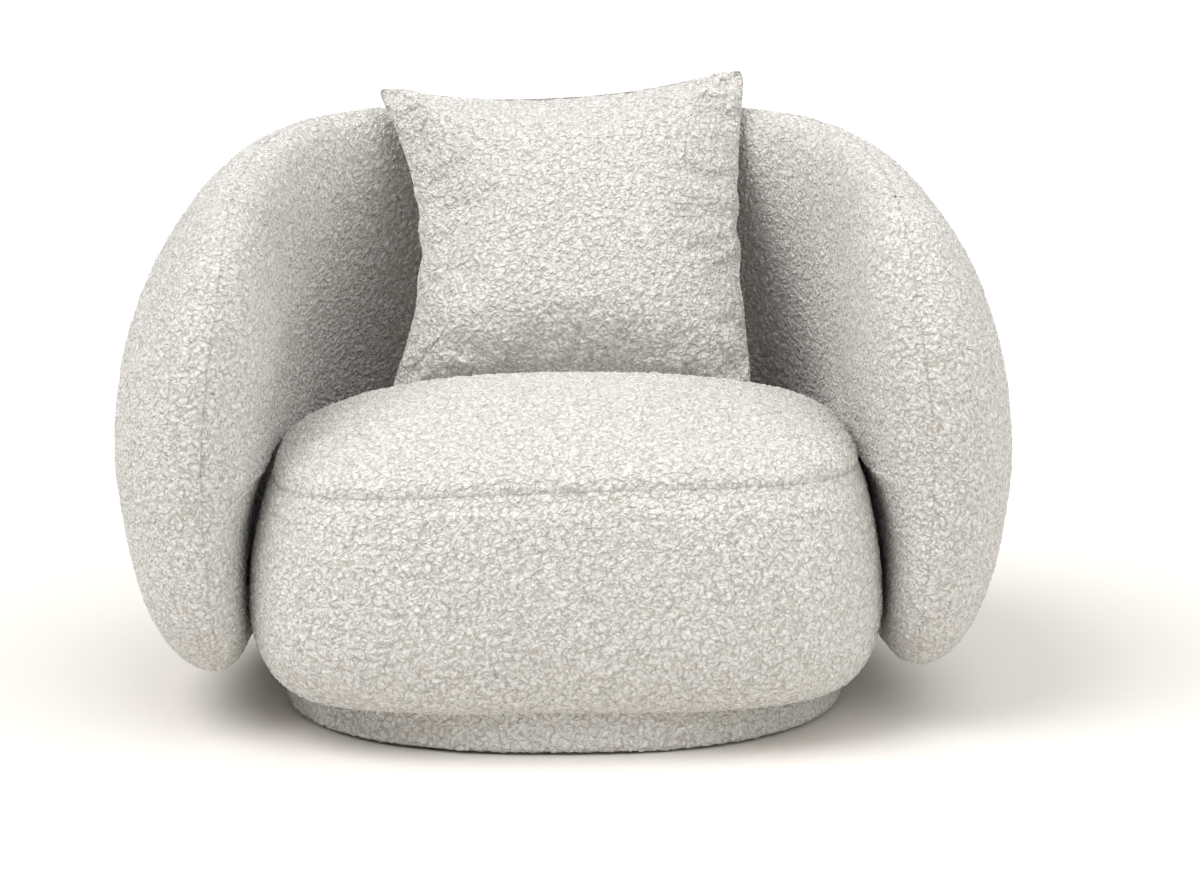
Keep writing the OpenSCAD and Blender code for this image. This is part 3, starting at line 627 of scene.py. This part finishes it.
def cushion_outline(u, v):
    """The cushion's flat outline, in its own plane: eared corners and sides drawn in, the left one more."""
    high, low = (1 + v) / 2, (1 - v) / 2
    pinch = SIDE_PINCH - SIDE_PINCH_TILT * u
    x = CUSHION_W / 2 * CORNER_SPREAD * u * (1 - pinch * (1 - v * v) - LOWER_NARROWING * low)
    x = x - TOP_LEFT_SHIFT * high
    y = CUSHION_H / 2 * v * (1 - CUSHION_PINCH * (1 - u * u))
    y = y - TOP_SAG * high ** 2 + TOP_TILT * u * high
    y = y + EAR_RISE * np.abs(u) ** 2.5 * high ** 2 - CORNER_DROOP * u ** 4 * low ** 2
    gathered = np.abs(u) ** 6 * np.maximum(0, 1 - ((v + 0.1) / 0.5) ** 2)
    x = x - np.sign(u) * gathered * PUCKER * np.sin(v * 23 + 9 * v * v + 2 * u)
    return x, y


def cushion_rest(u, v, half):
    """Points of one side of the slack cushion before it is filled."""
    x, y = cushion_outline(*round_grid(u, v, CUSHION_CORNER_N))
    fullness = np.where(v > 0, FULLNESS, FULLNESS_DOWN)
    z = half * np.maximum(0, 1 - u * u) ** FULLNESS * np.maximum(0, 1 - v * v) ** fullness
    return np.stack([x, y, z], axis=-1)


def slack_case():
    """The case before it is filled: points, quads, and the front's and back's point numbers.

    It is a closed pillow already, thinner than the finished one; the simulation only swells it.
    """
    n = CUSHION_CELLS
    even = np.linspace(-1, 1, n + 1)
    bunched = np.sin(even * 0.46 * np.pi) / math.sin(0.46 * np.pi)
    steps = 0.35 * bunched + 0.65 * even
    u, v = np.meshgrid(steps, steps)
    front = cushion_rest(u, v, CUSHION_T / 2 * SLACK)
    back = cushion_rest(u, v, -CUSHION_T / 2 * SLACK)
    front[..., 2] += 0.0008 * noise(front, 0.03)
    count = (n + 1) ** 2
    front_index = np.arange(count).reshape(n + 1, n + 1)
    back_index = front_index.copy()
    back_index[1:-1, 1:-1] = count + np.arange((n - 1) ** 2).reshape(n - 1, n - 1)
    points = np.concatenate([front.reshape(-1, 3), back[1:-1, 1:-1].reshape(-1, 3)])
    quads = np.concatenate([grid_quads(front_index, False), grid_quads(back_index, True)])
    return points, quads, front_index, back_index


def blown_up(case, seam):
    """Simulates the case as cloth held at its seam and under pressure, and gives its points afterwards."""
    held = case.vertex_groups.new(name="seam")
    held.add([int(k) for k in seam], 1.0, "REPLACE")
    cloth = case.modifiers.new("fill", "CLOTH")
    settings = cloth.settings
    settings.quality = 7
    settings.mass = 0.25
    settings.tension_stiffness = 18
    settings.compression_stiffness = 6
    settings.shear_stiffness = 4
    settings.bending_stiffness = 0.25
    settings.use_pressure = True
    settings.uniform_pressure_force = 1.8
    settings.shrink_min = -0.028
    settings.shrink_max = -0.028
    settings.vertex_group_mass = held.name
    settings.pin_stiffness = 1.0
    settings.effector_weights.gravity = 0
    cloth.collision_settings.use_self_collision = False
    cloth.point_cache.frame_end = FRAMES
    scene = bpy.context.scene
    for number in range(1, FRAMES + 1):
        scene.frame_set(number)
    graph = bpy.context.evaluated_depsgraph_get()
    filled = case.evaluated_get(graph).to_mesh()
    moved = np.empty(len(filled.vertices) * 3, np.float32)
    filled.vertices.foreach_get("co", moved)
    case.evaluated_get(graph).to_mesh_clear()
    scene.frame_set(1)
    return moved.reshape(-1, 3).astype(float)


def filled_cushion():
    """The filled cushion's front and back as grids in its own plane."""
    points, quads, front_index, back_index = slack_case()
    case = make_object("cushion_case_slack", points, [quads])
    change = blown_up(case, border(front_index)) - points
    bpy.data.objects.remove(case, do_unlink=True)
    size = np.linalg.norm(change, axis=1, keepdims=True)
    moved = points + change * MOVE_CAP * np.tanh(size / MOVE_CAP) / np.maximum(size, 1e-9)
    return moved[front_index], moved[back_index] * [1, 1, BACK_FLAT]


def finer(grid, factor):
    """A grid with factor times as many cells each way, through cubic curves."""
    for axis in (0, 1):
        grid = np.moveaxis(grid, axis, 0)
        count = grid.shape[0] - 1
        at = np.linspace(0, count, count * factor + 1)
        k = np.minimum(np.floor(at).astype(int), count - 1)
        t = (at - k).reshape(-1, *([1] * (grid.ndim - 1)))
        p, q = grid[k], grid[k + 1]
        before = np.where((k > 0).reshape(t.shape), grid[np.maximum(k - 1, 0)], 2 * p - q)
        after = np.where((k < count - 1).reshape(t.shape), grid[np.minimum(k + 2, count)], 2 * q - p)
        m0, m1 = (q - before) / 2, (after - p) / 2
        grid = ((2 * t ** 3 - 3 * t ** 2 + 1) * p + (t ** 3 - 2 * t ** 2 + t) * m0
                + (3 * t ** 2 - 2 * t ** 3) * q + (t ** 3 - t ** 2) * m1)
        grid = np.moveaxis(grid, 0, axis)
    return grid


def cushion_place(grid, lift):
    """From the cushion's own plane to its place, leaning on the back."""
    turn = np.array(Matrix.Rotation(math.pi / 2 - CUSHION_LEAN, 3, "X"))
    local = grid + [0, CUSHION_H / 2 * (1 - CUSHION_PINCH), lift]
    return local @ turn.T + np.array(CUSHION_EDGE)


def cushion_inside(grid, side):
    """The insert's front (side 1) or back (side -1), inside the case's."""
    flat = grid * [INSERT_SHARE, INSERT_SHARE, 1]
    flat[..., 2] = side * np.maximum(side * flat[..., 2] - INSERT_DEPTH, INSERT_RIM)
    return cushion_place(flat, 0)


def build_cushion():
    front, back = filled_cushion()
    for name, grid, side in (("cushion_front", front, 1), ("cushion_back", back, -1)):
        points = cushion_place(finer(grid, FINER), side * GAP / 2)
        share = smoothstep(edge_distance(points) / CUSHION_SEAM_REACH)
        piece = cloth_slab(name + "_cloth", points, False, side < 0, share, seam_depth=CUSHION_SEAM_DEPTH)
        upholster(piece, name, "cushion_boucle", "cushion")

    piece = foam_block("cushion_insert_pad", cushion_inside(front, 1), cushion_inside(back, -1), False)
    upholster(piece, "cushion_insert", "cushion_fill", "cushion")


# ---------- materials ----------


def new_material(name):
    """A material, functions that add and link its nodes, and its shader."""
    material = bpy.data.materials.new(name)
    material.use_nodes = True
    tree = material.node_tree
    shader = tree.nodes["Principled BSDF"]

    def add(kind, **values):
        node = tree.nodes.new("ShaderNode" + kind)
        for key, value in values.items():
            if key in node.inputs:
                node.inputs[key].default_value = value
            else:
                setattr(node, key.lower(), value)
        return node

    def link(source, output, target, socket):
        tree.links.new(source.outputs[output], target.inputs[socket])

    return material, add, link, shader


def ramp(node, stops):
    """Sets a colour ramp's stops, each (position, colour)."""
    elements = node.color_ramp.elements
    while len(elements) < len(stops):
        elements.new(0.5)
    for element, (position, color) in zip(elements, stops):
        element.position = position
        element.color = (*color, 1)


NUBS_PER_METRE = 250.0
NUB_BEND = 0.009            # the nubs' pattern is bent by up to this much
NUB_HEIGHT = 0.0036


def boucle(name, painted_gap_shade, light):
    """Curly nap: nubs a few millimetres across with shade painted into the gaps between them and onto the
    low parts of the nap, soft and matt.
    """
    material, add, link, shader = new_material(name)
    tree = material.node_tree
    place = add("TexCoord")
    warp = add("TexNoise", Scale=120.0, Detail=1.0)
    link(place, "Object", warp, "Vector")
    bent = add("VectorMath", operation="MULTIPLY_ADD")
    tree.links.new(warp.outputs["Color"], bent.inputs[0])
    bent.inputs[1].default_value = 3 * (NUB_BEND,)
    tree.links.new(place.outputs["Object"], bent.inputs[2])
    nubs = add("TexVoronoi", Scale=NUBS_PER_METRE, feature="SMOOTH_F1", Smoothness=0.25)
    link(bent, "Vector", nubs, "Vector")
    # painted shade: the colour darkens from the nubs' tops into the gaps between them, where the nap shades
    # itself
    tone = add("ValToRGB")
    ramp(tone, [(0.36, light), (0.74, painted_gap_shade)])
    link(nubs, "Distance", tone, "Fac")

    # painted shade: the colour darkens a little where the nap's geometry is low, as if its hollows were in
    # shadow
    nap = add("Attribute", attribute_name="nap")
    low_nap_painted_shade = add("ValToRGB")
    ramp(low_nap_painted_shade, [(0.15, (0.90, 0.89, 0.875)), (0.55, (1.0, 1.0, 1.0))])
    link(nap, "Fac", low_nap_painted_shade, "Fac")
    mix = add("Mix", data_type="RGBA", blend_type="MULTIPLY")
    mix.inputs[0].default_value = 1.0
    tree.links.new(tone.outputs["Color"], mix.inputs[6])
    tree.links.new(low_nap_painted_shade.outputs["Color"], mix.inputs[7])
    tree.links.new(mix.outputs[2], shader.inputs["Base Color"])

    fuzz = add("TexNoise", Scale=700.0, Detail=3.0, Roughness=0.65)
    link(place, "Object", fuzz, "Vector")
    nub_bump = add("Bump", Strength=1.0, Distance=NUB_HEIGHT)
    nub_bump.invert = True
    link(nubs, "Distance", nub_bump, "Height")
    fuzz_bump = add("Bump", Strength=0.5, Distance=0.0010)
    link(fuzz, "Fac", fuzz_bump, "Height")
    link(nub_bump, "Normal", fuzz_bump, "Normal")
    link(fuzz_bump, "Normal", shader, "Normal")
    shader.inputs["Roughness"].default_value = 0.95
    shader.inputs["Specular IOR Level"].default_value = 0.25
    shader.inputs["Sheen Weight"].default_value = 0.35
    shader.inputs["Sheen Roughness"].default_value = 0.6
    shader.inputs["Sheen Tint"].default_value = (1.0, 0.99, 0.97, 1)
    return material


def grained(name, dark, light, stretch, scale, roughness, bump=0.2, bands=None):
    """Wood: fibres drawn out along one direction, and for plywood the edges of its plies."""
    material, add, link, shader = new_material(name)
    tree = material.node_tree
    place = add("TexCoord")
    pull = add("Mapping")
    pull.inputs["Scale"].default_value = stretch
    link(place, "Object", pull, "Vector")
    fibre = add("TexNoise", Scale=scale, Detail=6.0, Roughness=0.6, Distortion=0.4)
    link(pull, "Vector", fibre, "Vector")
    tone = add("ValToRGB")
    ramp(tone, [(0.3, dark), (0.7, light)])
    link(fibre, "Fac", tone, "Fac")
    color = tone.outputs["Color"]
    if bands:
        plies = add("TexWave", Scale=bands, Distortion=0.3, bands_direction="Z")
        link(place, "Object", plies, "Vector")
        ply_tone = add("ValToRGB")
        ramp(ply_tone, [(0.35, (0.72, 0.66, 0.58)), (0.6, (1.0, 1.0, 1.0))])
        link(plies, "Fac", ply_tone, "Fac")
        mix = add("Mix", data_type="RGBA", blend_type="MULTIPLY")
        mix.inputs[0].default_value = 0.8
        tree.links.new(color, mix.inputs[6])
        tree.links.new(ply_tone.outputs["Color"], mix.inputs[7])
        color = mix.outputs[2]
    tree.links.new(color, shader.inputs["Base Color"])
    relief = add("Bump", Strength=bump, Distance=0.0005)
    link(fibre, "Fac", relief, "Height")
    link(relief, "Normal", shader, "Normal")
    shader.inputs["Roughness"].default_value = roughness
    return material


def speckled(name, dark, light, scale, roughness, bump, distance, metallic=0.0, pores=False):
    """Foam, felt, plastic or metal: a fine mottled tone with matching relief."""
    material, add, link, shader = new_material(name)
    place = add("TexCoord")
    if pores:
        grain = add("TexVoronoi", Scale=scale)
        height = "Distance"
    else:
        grain = add("TexNoise", Scale=scale, Detail=5.0, Roughness=0.6)
        height = "Fac"
    link(place, "Object", grain, "Vector")
    tone = add("ValToRGB")
    ramp(tone, [(0.25, dark), (0.7, light)])
    link(grain, height, tone, "Fac")
    link(tone, "Color", shader, "Base Color")
    relief = add("Bump", Strength=bump, Distance=distance)
    link(grain, height, relief, "Height")
    link(relief, "Normal", shader, "Normal")
    shader.inputs["Roughness"].default_value = roughness
    shader.inputs["Metallic"].default_value = metallic
    return material


def woven(name, dark, light, scale, roughness):
    """Tape or webbing: two crossed sets of threads."""
    material, add, link, shader = new_material(name)
    place = add("TexCoord")
    warp = add("TexWave", Scale=scale, Distortion=0.2, bands_direction="DIAGONAL")
    weft = add("TexWave", Scale=scale, Distortion=0.2, bands_direction="Z")
    link(place, "Object", warp, "Vector")
    link(place, "Object", weft, "Vector")
    cross = add("Math", operation="MULTIPLY")
    tree = material.node_tree
    tree.links.new(warp.outputs["Fac"], cross.inputs[0])
    tree.links.new(weft.outputs["Fac"], cross.inputs[1])
    tone = add("ValToRGB")
    ramp(tone, [(0.0, dark), (0.8, light)])
    link(cross, "Value", tone, "Fac")
    link(tone, "Color", shader, "Base Color")
    relief = add("Bump", Strength=0.5, Distance=0.0004)
    link(cross, "Value", relief, "Height")
    link(relief, "Normal", shader, "Normal")
    shader.inputs["Roughness"].default_value = roughness
    return material


MATERIALS = {
    # the second colour of each boucle is painted shade for the gaps between the nubs
    "boucle": boucle("boucle", (0.58, 0.55, 0.505), (0.86, 0.85, 0.825)),
    "cushion_boucle": boucle("cushion_boucle", (0.60, 0.57, 0.53), (0.87, 0.86, 0.835)),
    "foam": speckled("foam", (0.76, 0.70, 0.50), (0.90, 0.85, 0.68), 900.0, 0.95, 0.5, 0.0008, pores=True),
    "wadding": speckled("wadding", (0.80, 0.79, 0.76), (0.95, 0.94, 0.92), 350.0, 1.0, 0.6, 0.0015),
    "cushion_fill": speckled("cushion_fill", (0.85, 0.84, 0.82), (0.95, 0.95, 0.93),
                             1200.0, 0.95, 0.4, 0.0004),
    "felt": speckled("felt", (0.24, 0.235, 0.23), (0.52, 0.51, 0.50), 700.0, 1.0, 0.6, 0.0008),
    "plywood": grained("plywood", (0.55, 0.39, 0.24), (0.78, 0.62, 0.42),
                       (1, 12, 12), 20.0, 0.6, bands=110.0),
    "hardwood": grained("hardwood", (0.42, 0.27, 0.15), (0.66, 0.48, 0.30), (10, 10, 1), 24.0, 0.55),
    "webbing": woven("webbing", (0.03, 0.03, 0.035), (0.15, 0.15, 0.16), 260.0, 0.85),
    "spring_steel": speckled("spring_steel", (0.28, 0.28, 0.29), (0.46, 0.46, 0.47),
                             160.0, 0.38, 0.1, 0.0002, 1.0),
    "glide_plastic": speckled("glide_plastic", (0.035, 0.035, 0.035), (0.07, 0.07, 0.07),
                              1500.0, 0.55, 0.2, 0.0002),
    "zinc_steel": speckled("zinc_steel", (0.55, 0.56, 0.58), (0.72, 0.73, 0.74),
                           240.0, 0.3, 0.1, 0.0001, 1.0),
    "zip_tape": woven("zip_tape", (0.62, 0.60, 0.56), (0.84, 0.82, 0.78), 700.0, 0.9),
    "zip_coil": speckled("zip_coil", (0.66, 0.64, 0.60), (0.80, 0.78, 0.74), 1500.0, 0.45, 0.2, 0.0002),
    "zip_metal": speckled("zip_metal", (0.66, 0.64, 0.60), (0.78, 0.76, 0.72),
                          900.0, 0.3, 0.15, 0.0001, 0.4),
}


def dress_cad_nodes():
    """Every CAD node that stays gets the material of its slot in the record."""
    slots = {row["node"]: row["material_slot"] for row in frame["record"]["subparts"]}
    for name, node in NODES.items():
        if not node.material_slots:
            node.data.materials.append(MATERIALS[slots[name]])
        for entry in node.material_slots:
            entry.material = MATERIALS[slots[name]]


# ---------- room, light and camera ----------

FLOOR_HALF = 80.0


def build_floor():
    """A wide, pale, matt floor."""
    corners = ((-1, -1), (1, -1), (1, 1), (-1, 1))
    points = np.array([[x * FLOOR_HALF, y * FLOOR_HALF, 0] for x, y in corners])
    floor = make_object("floor", points, [np.array([[0, 1, 2, 3]])])
    material, _, _, shader = new_material("floor_paper")
    shader.inputs["Base Color"].default_value = (0.81, 0.785, 0.745, 1)
    shader.inputs["Roughness"].default_value = 0.9
    shader.inputs["Specular IOR Level"].default_value = 0.1
    floor.data.materials.append(material)


def build_light():
    """White horizon, dark low sky, light high sky, a wide key light from the left and a wider fill."""
    world = bpy.data.worlds.new("studio")
    bpy.context.scene.world = world
    world.use_nodes = True
    tree = world.node_tree
    back = tree.nodes["Background"]
    place = tree.nodes.new("ShaderNodeTexCoord")
    split = tree.nodes.new("ShaderNodeSeparateXYZ")
    tone = tree.nodes.new("ShaderNodeValToRGB")
    tree.links.new(place.outputs["Generated"], split.inputs[0])
    tree.links.new(split.outputs["Z"], tone.inputs["Fac"])
    tree.links.new(tone.outputs["Color"], back.inputs["Color"])
    horizon = (1.0, 1.0, 1.0)
    ramp(tone, [(0.0, horizon), (0.02, horizon), (0.12, (0.10, 0.10, 0.10)), (1.0, (0.72, 0.725, 0.73))])
    back.inputs["Strength"].default_value = 1.0

    add_sun("key", 2.2, 45, (-0.80, -0.35, 1.15))
    add_sun("fill", 1.7, 80, (0.80, -0.42, 1.05))


def add_sun(name, energy, width, toward):
    """A distant light, width degrees across, that stands in the direction toward."""
    sun = bpy.data.lights.new(name, "SUN")
    sun.energy = energy
    sun.angle = math.radians(width)
    lamp = bpy.data.objects.new(name, sun)
    bpy.context.scene.collection.objects.link(lamp)
    lamp.rotation_euler = Vector(toward).to_track_quat("Z", "Y").to_euler()


def build_camera():
    """The camera fitted to the photo's perspective."""
    data = bpy.data.cameras.new("camera")
    data.lens = 92.8
    data.sensor_width = 36
    camera = bpy.data.objects.new("camera", data)
    bpy.context.scene.collection.objects.link(camera)
    camera.location = (-0.077, -3.327, 0.956)
    camera.rotation_euler = (math.pi / 2 - 0.2094, 0, -0.0357)
    bpy.context.scene.camera = camera


bpy.context.scene.view_settings.view_transform = "Standard"
build_camera()
build_floor()
build_light()
dress_cad_nodes()
build_shell()
build_seat()
build_plinth()
build_cushion()
